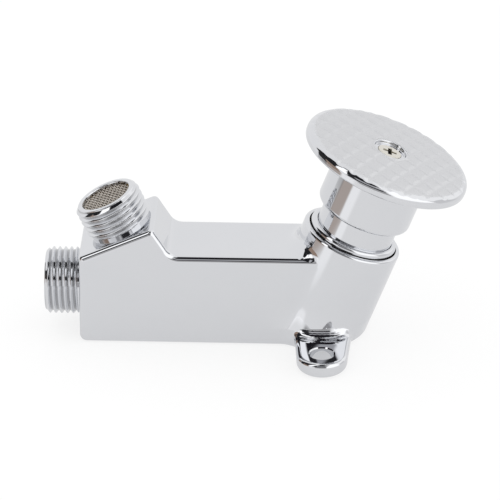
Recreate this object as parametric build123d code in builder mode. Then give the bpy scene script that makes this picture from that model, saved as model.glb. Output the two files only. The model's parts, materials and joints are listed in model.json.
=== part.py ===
from build123d import *
import os
from math import ceil, cos, pi, radians, sin, sqrt, tan

os.makedirs("parts", exist_ok=True)

# Self-closing foot pedal valve for a floor, in millimetres.
# The origin is on the floor, midway between the two floor-screw holes.
# X runs from the arm towards the pedal, Z is up, and Y = 0 is the middle plane.
# Pieces on the leaning stem are placed by their distance from the floor along its axis.

# Clearances
running_gap = 0.05          # between pieces that slide or turn
fitting_gap = 0.1           # between pieces that are put together and stay
seal_gap = 0.03

# Neck of the push cap, which sets the sizes of everything on the stem
neck_radius = 12.1
neck_wall = 1.9
neck_clearance = 0.6
neck_exposed = 6.8

# Bonnet ring, its gasket and wiper
bonnet_width = 2.1          # ring wall round the neck
bonnet_radius = neck_radius + bonnet_width
bonnet_step = 1.3           # from the cartridge's top to the bonnet's seat
bonnet_socket = 5.5
bonnet_dome = 1.8           # height above the barrel
bonnet_dome_round = 1.3
bonnet_mouth_chamfer = 0.45
gasket_thickness = 1.0
wiper_inset = 2.1           # from the barrel's rim down to the wiper's groove
wiper_height = 1.5
wiper_width = 1.1

# Barrel and its floor lugs
stem_lean = 21.0            # from the vertical, degrees
stem_foot_x = -3.85         # where the stem's axis meets the floor
barrel_wall = 1.3
barrel_radius = bonnet_radius + fitting_gap + barrel_wall
barrel_rim_round = 0.9
barrel_blend = 5.0
screw_spacing = 52.5
screw_hole = 3.75
screw_hole_edge = 0.35
lug_end_radius = 7.8
lug_root_half = 9.0
lug_root_reach = 8.0
lug_thickness = 5.1
lug_top_round = 1.4
lug_blend = 2.6

# Arm of the casting
arm_reach = 75.1            # from the screw line to the arm's end face
arm_inset = 2.6             # how much narrower than the barrel it is, on each side
arm_width = 2 * (barrel_radius - arm_inset)
arm_drop = 8.07             # from the highest point of the barrel's rim to the arm's top
arm_overlap = 5.5           # how far the arm runs past the foot of the stem, inside the barrel
arm_edge_round = 1.8
arm_end_round = 1.5
floor_round = 2.4           # all round the casting's lower edge

# Raised boss that carries the inlet
boss_slope = 24.0           # tilt of the boss's face, degrees
boss_step = 1.0             # from the arm's top to the face at the arm's end
boss_run = 22.7             # length of the face, measured level
boss_fall = 58.0            # slope down to the arm's top, degrees
boss_peak_round = 1.6
boss_foot_round = 4.5

# Threaded spigots, both for a half-inch pipe thread, with the thread itself left plain
thread_radius = 20.955 / 2
spigot_length = 11.0
spigot_lead = 1.4           # chamfer at the mouth
spigot_bore = 7.8
relief_radius = 9.4         # neck at the root of the inlet's thread
relief_width = 0.8
outlet_height = 15.2
outlet_bore_depth = 16.4
inlet_offset = 13.36        # from the boss's lower edge, along its face
inlet_bore_depth = 20.0

# Return spring and its slip washer
spring_wire = 1.2
spring_gap = 0.6            # between the spring and the neck round it
spring_radius = neck_radius - neck_wall - spring_gap - spring_wire / 2
spring_turns = 5
spring_end_pitch = 1.75
washer_thickness = 0.8
washer_radius = neck_radius - neck_wall - 3 * fitting_gap

# Cartridge
cartridge_step = 1.2        # how much smaller than the neck it is
cartridge_radius = neck_radius - cartridge_step
cartridge_length = 11.6
cartridge_floor = 1.2
cartridge_wall = 2.9
cartridge_cavity_radius = cartridge_radius - cartridge_wall
cartridge_cavity_height = 6.2
window_width = 8.0
window_inset = 0.8
seal_section = 1.75         # rubber rings on the spindle
seal_groove = 1.85
lower_seal_height = 8.4     # groove of the lower ring above the cartridge's foot
ring_section = 1.28         # rubber rings around the cartridge
ring_groove = 1.4
ring_groove_inset = 0.4
key_gap = 0.32              # from the hexagon's corners to the spring round it
key_flats = (spring_radius - spring_wire / 2 - key_gap) * sqrt(3)
key_height = 5.3
bush_length = 3.9

# Valve chambers
bore_radius = cartridge_radius + fitting_gap
neck_bore = neck_radius + 5 * fitting_gap
chamber_floor = 6.8
seat_ledge = 2.0
chamber_radius = bore_radius - seat_ledge
gallery_depth = 1.0         # of the ring-shaped space around the cartridge's windows
gallery_radius = bore_radius + gallery_depth
channel_radius = 3.3        # inlet channel
channel_offset = 4.5        # of both channels from the middle plane
outlet_channel_width = 7.0
outlet_channel_height = 5.4

# Moving valve, from the bottom up
pedal_stroke = 5.0
stop_clearance = 0.3
clip_inset = 0.4
clip_thickness = 0.6
clip_radius = 4.0
holder_thickness = 1.2
holder_gap = 0.8            # round the holder in its chamber
holder_radius = chamber_radius - holder_gap
holder_rim = 0.75
holder_rim_height = 1.2
seal_thickness = 1.9
seat_lip_height = 0.4
seat_lip_width = 1.0
seat_inset = 2.7
seat_radius = holder_radius - seat_inset
spindle_radius = 3.5
spindle_tip_radius = 2.0

# Push cap
cap_step = 2.7              # how far the cap overhangs its neck
cap_radius = neck_radius + cap_step
cap_length = 17.8
cap_lower_round = 1.5
cap_crown = 4.2             # thickness of the cap's top
spindle_socket = 2.2

# Pedal plate and its screw
plate_radius = 26.15
plate_thickness = 3.5       # at the rim
plate_crown = 1.55          # rise of the domed top above the rim
plate_top_round = 1.2
plate_bottom_round = 0.7
plate_recess_radius = 5.15
plate_recess_depth = 1.05
screw_radius = 2.0
screw_head_radius = 3.75
screw_head_proud = 0.25
screw_length = 14.0         # depth of its hole from the recess
screw_tip_gap = 1.0         # left under its tip

# Strainer in the inlet
strainer_depth = 1.1
mesh_thickness = 0.5
mesh_pitch = 1.6
mesh_hole = 1.1
mesh_border = 0.5
strainer_ring_wall = 1.0
strainer_ring_height = 3.4

# Levels along the stem
tip_level = chamber_floor + pedal_stroke + stop_clearance
clip_level = tip_level + clip_inset
holder_level = clip_level + clip_thickness
seal_level = holder_level + holder_thickness
lip_level = seal_level + seal_thickness
seat_level = lip_level + seat_lip_height
cartridge_top = seat_level + cartridge_length
key_top = cartridge_top + key_height
bonnet_seat = cartridge_top + bonnet_step
barrel_top = bonnet_seat + bonnet_socket
bonnet_top = barrel_top + bonnet_dome
neck_level = cartridge_top + pedal_stroke + neck_clearance
cap_level = bonnet_top + neck_exposed
plate_level = cap_level + cap_length
plate_top = plate_level + plate_thickness
dome_radius = (plate_radius**2 + plate_crown**2) / (2 * plate_crown)


def dome_level(radius):
    """Level of the plate's domed top at a distance from the stem's axis."""
    return plate_top + plate_crown - dome_radius + sqrt(dome_radius**2 - radius**2)


recess_level = dome_level(plate_recess_radius) - plate_recess_depth
screw_tip_level = recess_level - screw_length
cap_ceiling = plate_level - cap_crown
spindle_top = cap_ceiling + spindle_socket
window_low = seat_level + cartridge_floor + window_inset
window_high = seat_level + cartridge_floor + cartridge_cavity_height - window_inset

# Directions and planes of the leaning stem
lean = radians(stem_lean)
arm_height = barrel_top * cos(lean) + barrel_radius * sin(lean) - arm_drop
boss_low = arm_height - boss_step
stem_up = Vector(sin(lean), 0, cos(lean))
stem_out = Vector(cos(lean), 0, -sin(lean))
stem_side = stem_up.cross(stem_out)
stem_foot = Vector(stem_foot_x, 0, 0)
stem_axis = Axis(stem_foot, stem_up)
stem_section = Plane(origin=stem_foot, x_dir=stem_out, z_dir=(0, -1, 0))


def across_stem(level):
    """Plane square to the stem at a distance from the floor."""
    return Plane(origin=stem_foot + stem_up * level, x_dir=stem_out, z_dir=stem_up)


def corner(sketch, place):
    """Corner of a sketch nearest to a place in the sketch's own plane."""
    return sketch.vertices().sort_by_distance(place)[0]


def distance_from_stem(point):
    """How far a point lies from the stem's axis."""
    offset = point - stem_foot
    return (offset - stem_up * offset.dot(stem_up)).length


# Pieces that are turned on the stem's axis are drawn as half sections, given as (radius, level).

# Outline of the arm with its boss, seen from the side
end_x = -arm_reach
boss_rise = boss_run * tan(radians(boss_slope))
boss_peak = (end_x + boss_run, boss_low + boss_rise)
boss_foot = (boss_peak[0] + (boss_peak[1] - arm_height) / tan(radians(boss_fall)), arm_height)
arm_tip_x = stem_foot_x + arm_overlap

with BuildPart() as arm_bar:
    with BuildSketch(Plane.XZ) as arm_side:
        with BuildLine():
            Polyline(
                (end_x, 0),
                (end_x, boss_low),
                boss_peak,
                boss_foot,
                (arm_tip_x, arm_height),
                (arm_tip_x, 0),
                close=True,
            )
        make_face()
        fillet(corner(arm_side, boss_foot), boss_foot_round)
        fillet(corner(arm_side, boss_peak), boss_peak_round)
        fillet(corner(arm_side, (end_x, boss_low)), arm_end_round)
    extrude(amount=arm_width / 2, both=True)
    side_edges = arm_bar.faces().filter_by(Axis.Y).edges()
    upper_edges = side_edges.filter_by(
        lambda edge: edge.center().X < arm_tip_x - 0.1 and edge.center().Z > 0.1
    )
    fillet(upper_edges, arm_edge_round)

with BuildPart() as barrel_with_lugs:
    with BuildSketch(Plane.XY):
        with Locations((0, screw_spacing / 2), (0, -screw_spacing / 2)):
            Circle(lug_end_radius)
        Rectangle(2 * lug_root_half, 2 * lug_root_reach)
        make_hull()
    extrude(amount=lug_thickness)
    fillet(barrel_with_lugs.faces().sort_by(Axis.Z)[-1].edges(), lug_top_round)
    with BuildSketch(across_stem(-barrel_radius)):
        Circle(barrel_radius)
    extrude(amount=barrel_radius + barrel_top)
    split(bisect_by=Plane.XY, keep=Keep.TOP)
    lug_roots = barrel_with_lugs.edges().filter_by(
        lambda edge: abs(distance_from_stem(edge @ 0.5) - barrel_radius) < 0.01
        and 0.1 < (edge @ 0.5).Z < lug_thickness + 0.1
    )
    fillet(lug_roots, lug_blend)

# Places of the two spigots and of the channels behind them
slope = radians(boss_slope)
inlet_out = Vector(-sin(slope), 0, cos(slope))
inlet_root = Vector(end_x + inlet_offset * cos(slope), 0, boss_low + inlet_offset * sin(slope))
inlet_plane = Plane(origin=inlet_root, x_dir=(cos(slope), 0, sin(slope)), z_dir=inlet_out)
inlet_mouth = inlet_root + inlet_out * spigot_length
outlet_plane = Plane(origin=(end_x, 0, outlet_height), x_dir=(0, -1, 0), z_dir=(-1, 0, 0))
outlet_bore_end = end_x - spigot_length + outlet_bore_depth
inlet_bore_end = inlet_mouth - inlet_out * inlet_bore_depth
inlet_channel_z = (chamber_floor + seat_level) / 2 * cos(lean) + chamber_radius * sin(lean)
outlet_channel_z = (window_low + window_high) / 2 * cos(lean) + gallery_radius * sin(lean)
outlet_start = Vector(outlet_bore_end - 3, -channel_offset, outlet_height + 1.3)
outlet_finish = Vector(stem_foot_x, -channel_offset, outlet_channel_z)
outlet_run = outlet_finish - outlet_start
drop_start = Vector(inlet_bore_end.X, channel_offset, inlet_bore_end.Z + channel_radius)
drop_finish = Vector(inlet_bore_end.X + 5, channel_offset, inlet_channel_z)
drop_run = drop_finish - drop_start

with BuildPart() as valve_body:
    add(barrel_with_lugs.part)
    add(arm_bar.part)
    arm_joint = valve_body.edges().filter_by(
        lambda edge: abs(distance_from_stem(edge @ 0.5) - barrel_radius) < 0.01
        and abs((edge @ 0.5).Y) < arm_width / 2 + 0.01
        and 0.1 < (edge @ 0.5).Z < arm_height + 0.1
        and (edge @ 0.5).X < stem_foot_x + (edge @ 0.5).Z * tan(lean)
    )
    fillet(arm_joint, barrel_blend)
    fillet(valve_body.edges().filter_by(lambda edge: abs(edge.center().Z) < 0.01), floor_round)
    fillet(valve_body.edges().sort_by(stem_axis)[-1], barrel_rim_round)
    # spigots
    for base in (inlet_plane, outlet_plane):
        with BuildSketch(base):
            Circle(thread_radius)
        extrude(amount=spigot_length)
        mouth = valve_body.edges(Select.LAST).filter_by(GeomType.CIRCLE).sort_by(Axis(base.origin, base.z_dir))[-1]
        chamfer(mouth, spigot_lead)
    # relief at the root of the inlet's thread
    with BuildSketch(inlet_plane):
        Circle(thread_radius + 1)
        Circle(relief_radius, mode=Mode.SUBTRACT)
    extrude(amount=relief_width, mode=Mode.SUBTRACT)
    # outlet bore and its channel to the gallery
    with BuildSketch(outlet_plane.offset(spigot_length)):
        Circle(spigot_bore)
    extrude(amount=-outlet_bore_depth, mode=Mode.SUBTRACT)
    with BuildSketch(Plane(origin=outlet_start, x_dir=(0, 1, 0), z_dir=outlet_run.normalized())):
        SlotOverall(outlet_channel_width, outlet_channel_height)
    extrude(amount=outlet_run.length, mode=Mode.SUBTRACT)
    # inlet bore with the strainer's ledge, and its channel down to the lower chamber
    ledge_depth = strainer_depth + mesh_thickness + strainer_ring_height
    with BuildSketch(inlet_plane.offset(spigot_length)):
        Circle(spigot_bore)
    extrude(amount=-ledge_depth, mode=Mode.SUBTRACT)
    with BuildSketch(inlet_plane.offset(spigot_length - ledge_depth)):
        Circle(spigot_bore - strainer_ring_wall)
    extrude(amount=ledge_depth - inlet_bore_depth, mode=Mode.SUBTRACT)
    with BuildSketch(Plane(origin=drop_start, x_dir=(0, 1, 0), z_dir=drop_run.normalized())):
        Circle(channel_radius)
    extrude(amount=drop_run.length, mode=Mode.SUBTRACT)
    with BuildSketch(Plane(origin=drop_finish, x_dir=(0, 1, 0), z_dir=(1, 0, 0))):
        Circle(channel_radius)
    extrude(amount=stem_foot_x - drop_finish.X, mode=Mode.SUBTRACT)
    # stepped bore of the barrel
    with BuildSketch(stem_section):
        Polygon(
            [
                (0, chamber_floor),
                (chamber_radius, chamber_floor),
                (chamber_radius, seat_level),
                (bore_radius, seat_level),
                (bore_radius, window_low - 0.2),
                (gallery_radius, window_low + 0.2),
                (gallery_radius, window_high - 0.2),
                (bore_radius, window_high + 0.2),
                (bore_radius, cartridge_top),
                (neck_bore, cartridge_top),
                (neck_bore, bonnet_seat),
                (bonnet_radius + fitting_gap, bonnet_seat),
                (bonnet_radius + fitting_gap, barrel_top),
                (0, barrel_top),
            ],
            align=None,
        )
    revolve(axis=stem_axis, mode=Mode.SUBTRACT)
    # holes for the floor screws
    with BuildSketch(Plane.XY):
        with Locations((0, screw_spacing / 2), (0, -screw_spacing / 2)):
            Circle(screw_hole)
    extrude(amount=lug_thickness, mode=Mode.SUBTRACT)
    hole_edges = valve_body.edges().filter_by(GeomType.CIRCLE).filter_by(
        lambda edge: abs(edge.radius - screw_hole) < 0.01 and edge.center().Z > lug_thickness - 0.1
    )
    chamfer(hole_edges, screw_hole_edge)
valve_body.part.label = "valve_body"
export_step(valve_body.part, "parts/valve_body.step")

# Strainer: a woven disc on a turned ring, pushed into the inlet's mouth
mesh_radius = spigot_bore - fitting_gap
mesh_count = 2 * ceil(mesh_radius / mesh_pitch) + 1
mesh_reach = mesh_radius - mesh_border - mesh_hole / sqrt(2)
mesh_places = [
    (column * mesh_pitch, row * mesh_pitch)
    for column in range(-mesh_count, mesh_count + 1)
    for row in range(-mesh_count, mesh_count + 1)
    if (column**2 + row**2) * mesh_pitch**2 < mesh_reach**2
]

with BuildPart() as strainer_mesh:
    with BuildSketch(inlet_plane.offset(spigot_length - strainer_depth)):
        Circle(mesh_radius)
        with Locations(*mesh_places):
            Rectangle(mesh_hole, mesh_hole, mode=Mode.SUBTRACT)
    extrude(amount=-mesh_thickness)
strainer_mesh.part.label = "strainer_mesh"
export_step(strainer_mesh.part, "parts/strainer_mesh.step")

with BuildPart() as strainer_ring:
    with BuildSketch(inlet_plane.offset(spigot_length - strainer_depth - mesh_thickness)):
        Circle(mesh_radius)
        Circle(mesh_radius - strainer_ring_wall, mode=Mode.SUBTRACT)
    extrude(amount=-strainer_ring_height)
strainer_ring.part.label = "strainer_ring"
export_step(strainer_ring.part, "parts/strainer_ring.step")

# Cartridge: seat below, windows round the middle, hexagon and spindle gland above
spindle_bore = spindle_radius + running_gap
seal_bore = spindle_bore + seal_section
cavity_low = seat_level + cartridge_floor
cavity_high = cavity_low + cartridge_cavity_height
lower_seal_level = seat_level + lower_seal_height
upper_seal_level = key_top - bush_length - seal_groove
lower_ring_level = seat_level + ring_groove_inset
upper_ring_level = cavity_high + ring_groove_inset
ring_floor = bore_radius - ring_section - 2 * seal_gap

with BuildPart() as cartridge:
    with BuildSketch(stem_section):
        Polygon(
            [
                (seat_radius, lip_level),
                (seat_radius + seat_lip_width, lip_level),
                (seat_radius + seat_lip_width, seat_level),
                (cartridge_radius, seat_level),
                (cartridge_radius, cartridge_top),
                (spindle_bore, cartridge_top),
                (spindle_bore, cavity_high),
                (cartridge_cavity_radius, cavity_high),
                (cartridge_cavity_radius, cavity_low),
                (seat_radius, cavity_low),
            ],
            align=None,
        )
    revolve(axis=stem_axis)
    with BuildSketch(across_stem(cartridge_top)):
        RegularPolygon(key_flats / sqrt(3), 6)
    extrude(amount=key_height)
    # four windows between posts
    with BuildSketch(across_stem(window_low)):
        Rectangle(2 * cartridge_radius + 1, window_width)
        Rectangle(window_width, 2 * cartridge_radius + 1)
    extrude(amount=window_high - window_low, mode=Mode.SUBTRACT)
    # bore, gland for the seals and bush, and grooves for the outer rings
    with BuildSketch(stem_section):
        Polygon(
            [
                (0, cavity_high),
                (spindle_bore, cavity_high),
                (spindle_bore, lower_seal_level),
                (seal_bore, lower_seal_level),
                (seal_bore, lower_seal_level + seal_groove),
                (spindle_bore, lower_seal_level + seal_groove),
                (spindle_bore, upper_seal_level),
                (seal_bore, upper_seal_level),
                (seal_bore, key_top),
                (0, key_top),
            ],
            align=None,
        )
        for groove_level in (lower_ring_level, upper_ring_level):
            with Locations((cartridge_radius, groove_level + ring_groove / 2)):
                Rectangle(2 * (cartridge_radius - ring_floor), ring_groove)
    revolve(axis=stem_axis, mode=Mode.SUBTRACT)
cartridge.part.label = "cartridge"
export_step(cartridge.part, "parts/cartridge.step")

# Rubber rings round the cartridge and on the spindle, of square section
ring_middle = bore_radius - seal_gap - ring_section / 2
seal_middle = spindle_bore + seal_section / 2 - running_gap / 2

with BuildPart() as cartridge_lower_ring:
    with BuildSketch(stem_section):
        with Locations((ring_middle, lower_ring_level + ring_groove / 2)):
            Rectangle(ring_section, ring_section)
    revolve(axis=stem_axis)
cartridge_lower_ring.part.label = "cartridge_lower_ring"
export_step(cartridge_lower_ring.part, "parts/cartridge_lower_ring.step")

with BuildPart() as cartridge_upper_ring:
    with BuildSketch(stem_section):
        with Locations((ring_middle, upper_ring_level + ring_groove / 2)):
            Rectangle(ring_section, ring_section)
    revolve(axis=stem_axis)
cartridge_upper_ring.part.label = "cartridge_upper_ring"
export_step(cartridge_upper_ring.part, "parts/cartridge_upper_ring.step")

with BuildPart() as spindle_lower_seal:
    with BuildSketch(stem_section):
        with Locations((seal_middle, lower_seal_level + seal_groove / 2)):
            Rectangle(seal_section - running_gap, seal_section - running_gap)
    revolve(axis=stem_axis)
spindle_lower_seal.part.label = "spindle_lower_seal"
export_step(spindle_lower_seal.part, "parts/spindle_lower_seal.step")

with BuildPart() as spindle_upper_seal:
    with BuildSketch(stem_section):
        with Locations((seal_middle, upper_seal_level + seal_groove / 2)):
            Rectangle(seal_section - running_gap, seal_section - running_gap)
    revolve(axis=stem_axis)
spindle_upper_seal.part.label = "spindle_upper_seal"
export_step(spindle_upper_seal.part, "parts/spindle_upper_seal.step")

with BuildPart() as guide_bush:
    with BuildSketch(stem_section):
        Polygon(
            [
                (spindle_bore, key_top - bush_length),
                (seal_bore - running_gap, key_top - bush_length),
                (seal_bore - running_gap, key_top),
                (spindle_bore, key_top),
            ],
            align=None,
        )
    revolve(axis=stem_axis)
guide_bush.part.label = "guide_bush"
export_step(guide_bush.part, "parts/guide_bush.step")

# Bonnet: gasket, wiper and the domed ring that screws into the barrel
neck_guide = neck_radius + running_gap + seal_gap
wiper_top = barrel_top - wiper_inset + wiper_height

with BuildPart() as bonnet_gasket:
    with BuildSketch(stem_section):
        Polygon(
            [
                (neck_bore, bonnet_seat),
                (bonnet_radius, bonnet_seat),
                (bonnet_radius, bonnet_seat + gasket_thickness),
                (neck_bore, bonnet_seat + gasket_thickness),
            ],
            align=None,
        )
    revolve(axis=stem_axis)
bonnet_gasket.part.label = "bonnet_gasket"
export_step(bonnet_gasket.part, "parts/bonnet_gasket.step")

with BuildPart() as bonnet_ring:
    with BuildSketch(stem_section) as bonnet_outline:
        Polygon(
            [
                (neck_guide, bonnet_seat + gasket_thickness),
                (bonnet_radius, bonnet_seat + gasket_thickness),
                (bonnet_radius, bonnet_top),
                (neck_guide, bonnet_top),
            ],
            align=None,
        )
        fillet(corner(bonnet_outline, (bonnet_radius, bonnet_top)), bonnet_dome_round)
        chamfer(corner(bonnet_outline, (neck_guide, bonnet_top)), bonnet_mouth_chamfer)
        with Locations((neck_guide, wiper_top - wiper_height / 2)):
            Rectangle(2 * (wiper_width + running_gap), wiper_height, mode=Mode.SUBTRACT)
    revolve(axis=stem_axis)
bonnet_ring.part.label = "bonnet_ring"
export_step(bonnet_ring.part, "parts/bonnet_ring.step")

with BuildPart() as wiper_ring:
    with BuildSketch(stem_section):
        Polygon(
            [
                (neck_guide + wiper_width / 3, wiper_top - wiper_height),
                (neck_guide + wiper_width, wiper_top - wiper_height),
                (neck_guide + wiper_width, wiper_top),
                (neck_guide - running_gap, wiper_top),
                (neck_guide - running_gap, wiper_top - wiper_height / 4),
            ],
            align=None,
        )
    revolve(axis=stem_axis)
wiper_ring.part.label = "wiper_ring"
export_step(wiper_ring.part, "parts/wiper_ring.step")

# Valve on the spindle's tip: clip, holder and rubber disc
with BuildPart() as spindle:
    with BuildSketch(stem_section):
        Polygon(
            [
                (0, tip_level),
                (spindle_tip_radius, tip_level),
                (spindle_tip_radius, clip_level),
                (spindle_tip_radius - clip_thickness, clip_level),
                (spindle_tip_radius - clip_thickness, holder_level),
                (spindle_tip_radius, holder_level),
                (spindle_tip_radius, lip_level),
                (spindle_radius, lip_level),
                (spindle_radius, spindle_top),
                (screw_radius, spindle_top),
                (screw_radius, screw_tip_level),
                (0, screw_tip_level),
            ],
            align=None,
        )
    revolve(axis=stem_axis)
spindle.part.label = "spindle"
export_step(spindle.part, "parts/spindle.step")

with BuildPart() as seal_holder:
    with BuildSketch(stem_section):
        Polygon(
            [
                (spindle_tip_radius, holder_level),
                (holder_radius, holder_level),
                (holder_radius, seal_level + holder_rim_height),
                (holder_radius - holder_rim, seal_level + holder_rim_height),
                (holder_radius - holder_rim, seal_level),
                (spindle_tip_radius, seal_level),
            ],
            align=None,
        )
    revolve(axis=stem_axis)
seal_holder.part.label = "seal_holder"
export_step(seal_holder.part, "parts/seal_holder.step")

with BuildPart() as seat_seal:
    with BuildSketch(stem_section):
        Polygon(
            [
                (spindle_tip_radius, seal_level),
                (holder_radius - holder_rim - running_gap, seal_level),
                (holder_radius - holder_rim - running_gap, lip_level),
                (spindle_tip_radius, lip_level),
            ],
            align=None,
        )
    revolve(axis=stem_axis)
seat_seal.part.label = "seat_seal"
export_step(seat_seal.part, "parts/seat_seal.step")

with BuildPart() as retaining_clip:
    with BuildSketch(across_stem(clip_level)):
        Circle(clip_radius)
        Circle(spindle_tip_radius - clip_thickness, mode=Mode.SUBTRACT)
        with Locations((clip_radius / 2, 0)):
            Rectangle(clip_radius, 2 * (spindle_tip_radius - clip_thickness), mode=Mode.SUBTRACT)
    extrude(amount=clip_thickness)
retaining_clip.part.label = "retaining_clip"
export_step(retaining_clip.part, "parts/retaining_clip.step")

# Push cap: one turned piece, with the hollow neck that slides in the bonnet
with BuildPart() as push_cap:
    with BuildSketch(stem_section) as cap_outline:
        Polygon(
            [
                (neck_radius - neck_wall, neck_level),
                (neck_radius, neck_level),
                (neck_radius, cap_level),
                (cap_radius, cap_level),
                (cap_radius, plate_level),
                (screw_radius + fitting_gap, plate_level),
                (screw_radius + fitting_gap, spindle_top),
                (spindle_radius + running_gap, spindle_top),
                (spindle_radius + running_gap, cap_ceiling),
                (neck_radius - neck_wall, cap_ceiling),
            ],
            align=None,
        )
        fillet(corner(cap_outline, (cap_radius, cap_level)), cap_lower_round)
    revolve(axis=stem_axis)
push_cap.part.label = "push_cap"
export_step(push_cap.part, "parts/push_cap.step")

# Pedal plate with a domed top and a recess for its screw
sink_radius = screw_radius + fitting_gap
dome_middle = (plate_radius + plate_recess_radius) / 2

with BuildPart() as pedal_plate:
    with BuildSketch(stem_section) as plate_outline:
        with BuildLine():
            Polyline(
                (plate_recess_radius, dome_level(plate_recess_radius)),
                (plate_recess_radius, recess_level),
                (screw_head_radius + fitting_gap, recess_level),
                (sink_radius, recess_level - (screw_head_radius - screw_radius)),
                (sink_radius, plate_level),
                (plate_radius, plate_level),
                (plate_radius, plate_top),
            )
            ThreePointArc(
                (plate_radius, plate_top),
                (dome_middle, dome_level(dome_middle)),
                (plate_recess_radius, dome_level(plate_recess_radius)),
            )
        make_face()
        fillet(corner(plate_outline, (plate_radius, plate_top)), plate_top_round)
        fillet(corner(plate_outline, (plate_radius, plate_level)), plate_bottom_round)
    revolve(axis=stem_axis)
pedal_plate.part.label = "pedal_plate"
export_step(pedal_plate.part, "parts/pedal_plate.step")

with BuildPart() as pedal_screw:
    with BuildSketch(stem_section):
        Polygon(
            [
                (0, screw_tip_level + screw_tip_gap),
                (screw_radius - running_gap, screw_tip_level + screw_tip_gap),
                (screw_radius - running_gap, recess_level - (screw_head_radius - screw_radius)),
                (screw_head_radius, recess_level),
                (screw_head_radius, recess_level + screw_head_proud),
                (0, recess_level + screw_head_proud),
            ],
            align=None,
        )
    revolve(axis=stem_axis)
pedal_screw.part.label = "pedal_screw"
export_step(pedal_screw.part, "parts/pedal_screw.step")

# Slip washer between the spring and the cap, so that the pedal can turn on the spring
washer_level = cap_ceiling - washer_thickness

with BuildPart() as slip_washer:
    with BuildSketch(stem_section):
        Polygon(
            [
                (spindle_radius + running_gap, washer_level),
                (washer_radius, washer_level),
                (washer_radius, cap_ceiling),
                (spindle_radius + running_gap, cap_ceiling),
            ],
            align=None,
        )
    revolve(axis=stem_axis)
slip_washer.part.label = "slip_washer"
export_step(slip_washer.part, "parts/slip_washer.step")


# Return spring: one wire with a closer coil at each end, drawn as two tangent arcs to a half turn
spring_low = cartridge_top + spring_wire / 2 + running_gap
spring_high = washer_level - spring_wire / 2 - running_gap
halves = 2 * spring_turns
open_pitch = (2 * (spring_high - spring_low) - 5 * spring_end_pitch) / (halves - 5)
pitches = [
    spring_end_pitch if half <= 2 or half >= halves - 2 else open_pitch for half in range(halves + 1)
]
levels = [spring_low]
for half in range(halves):
    levels.append(levels[-1] + (pitches[half] + pitches[half + 1]) / 4)


def spring_point(half):
    """Middle of the wire after a number of half turns."""
    angle = half * pi
    flat = (spring_radius * cos(angle), spring_radius * sin(angle), 0)
    return across_stem(levels[half]).from_local_coords(flat)


def spring_direction(half):
    """Direction of the wire after a number of half turns."""
    angle = half * pi
    rise = pitches[half] / (2 * pi * spring_radius)
    return (stem_out * -sin(angle) + stem_side * cos(angle) + stem_up * rise).normalized()


with BuildPart() as return_spring:
    with BuildLine() as spring_line:
        for half in range(halves):
            start, finish = spring_point(half), spring_point(half + 1)
            leave, arrive = spring_direction(half), spring_direction(half + 1)
            chord = finish - start
            # the two arcs meet halfway between points that lie one equal reach along the tangents
            a = 2 * (1 - leave.dot(arrive))
            b = 2 * chord.dot(leave + arrive)
            reach = (sqrt(b * b + 4 * a * chord.dot(chord)) - b) / (2 * a)
            bend_in = start + leave * reach
            bend_out = finish - arrive * reach
            middle = (bend_in + bend_out) * 0.5
            TangentArc(start, middle, tangent=leave)
            TangentArc(middle, finish, tangent=bend_out - bend_in)
    with BuildSketch(Plane(origin=spring_point(0), z_dir=spring_direction(0))):
        Circle(spring_wire / 2)
    sweep(path=spring_line.wire())
return_spring.part.label = "return_spring"
export_step(return_spring.part, "parts/return_spring.step")

# Least gap of the spring to itself, measured between points of the wire at least half a turn apart
spring_path = spring_line.wire()
steps = 40 * spring_turns
wire_points = [spring_path @ (step / steps) for step in range(steps + 1)]
least = min(
    (wire_points[i] - wire_points[j]).length for i in range(steps + 1) for j in range(i + 20, steps + 1)
)
print("return spring, least gap between coils:", round(least - spring_wire, 2), "mm")
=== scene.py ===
import bpy
import json
import math
import numpy as np
from mathutils import Matrix, Vector


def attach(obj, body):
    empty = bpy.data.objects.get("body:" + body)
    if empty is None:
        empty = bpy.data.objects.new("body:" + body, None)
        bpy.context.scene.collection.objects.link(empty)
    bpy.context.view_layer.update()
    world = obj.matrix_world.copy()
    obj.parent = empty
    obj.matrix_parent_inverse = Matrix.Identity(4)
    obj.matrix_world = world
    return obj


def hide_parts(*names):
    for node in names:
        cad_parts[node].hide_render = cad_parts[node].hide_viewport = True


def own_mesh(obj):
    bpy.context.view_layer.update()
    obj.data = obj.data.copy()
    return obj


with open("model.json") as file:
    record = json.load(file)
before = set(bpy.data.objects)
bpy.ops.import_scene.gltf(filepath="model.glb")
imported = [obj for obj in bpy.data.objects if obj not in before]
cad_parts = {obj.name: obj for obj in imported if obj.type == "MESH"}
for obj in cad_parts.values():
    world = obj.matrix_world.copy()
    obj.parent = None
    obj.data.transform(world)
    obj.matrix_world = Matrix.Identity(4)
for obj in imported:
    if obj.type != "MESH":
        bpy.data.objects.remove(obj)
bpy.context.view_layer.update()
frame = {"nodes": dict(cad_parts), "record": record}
nodes = frame["nodes"]
record = frame["record"]
print("frame loaded,", len(nodes), "nodes")

mm = 0.001
fullTurn = 2 * math.pi
tiny = 1e-12  # smallest length that is divided by
weldSteps = 2e4  # steps per millimetre; points that round to the same step become one


def axisFrame(place, direction, below):
    # axis of a turned piece in millimetres: its origin lies a distance below a place on the axis,
    # out = side x along, and side is the direction across the whole valve
    along = np.array(direction, float)
    along /= np.linalg.norm(along)
    side = np.array([0.0, 1.0, 0.0])
    origin = np.array(place) / mm - below * along
    return {"origin": origin, "along": along, "out": np.cross(side, along), "side": side}


# half-inch pipe thread of both spigots, measured from the spigot's root
thread = {
    "major": 10.478,
    "pitch": 1.814,
    "depth": 1.10,
    "length": 11.0,
    "lead": 1.4,
    "leadSlope": 0.95,
    "leadBlend": 9,
    "bore": 7.8,
    "sharpness": 0.95,
    # painted shade in the grooves' roots: its strength, the wave at which it starts and the span over which
    # it grows
    "rootShade": 0.32,
    "rootShadeFrom": 0.6,
    "rootShadeOver": 0.35,
    "samplesPerTurn": 20,
}

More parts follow.
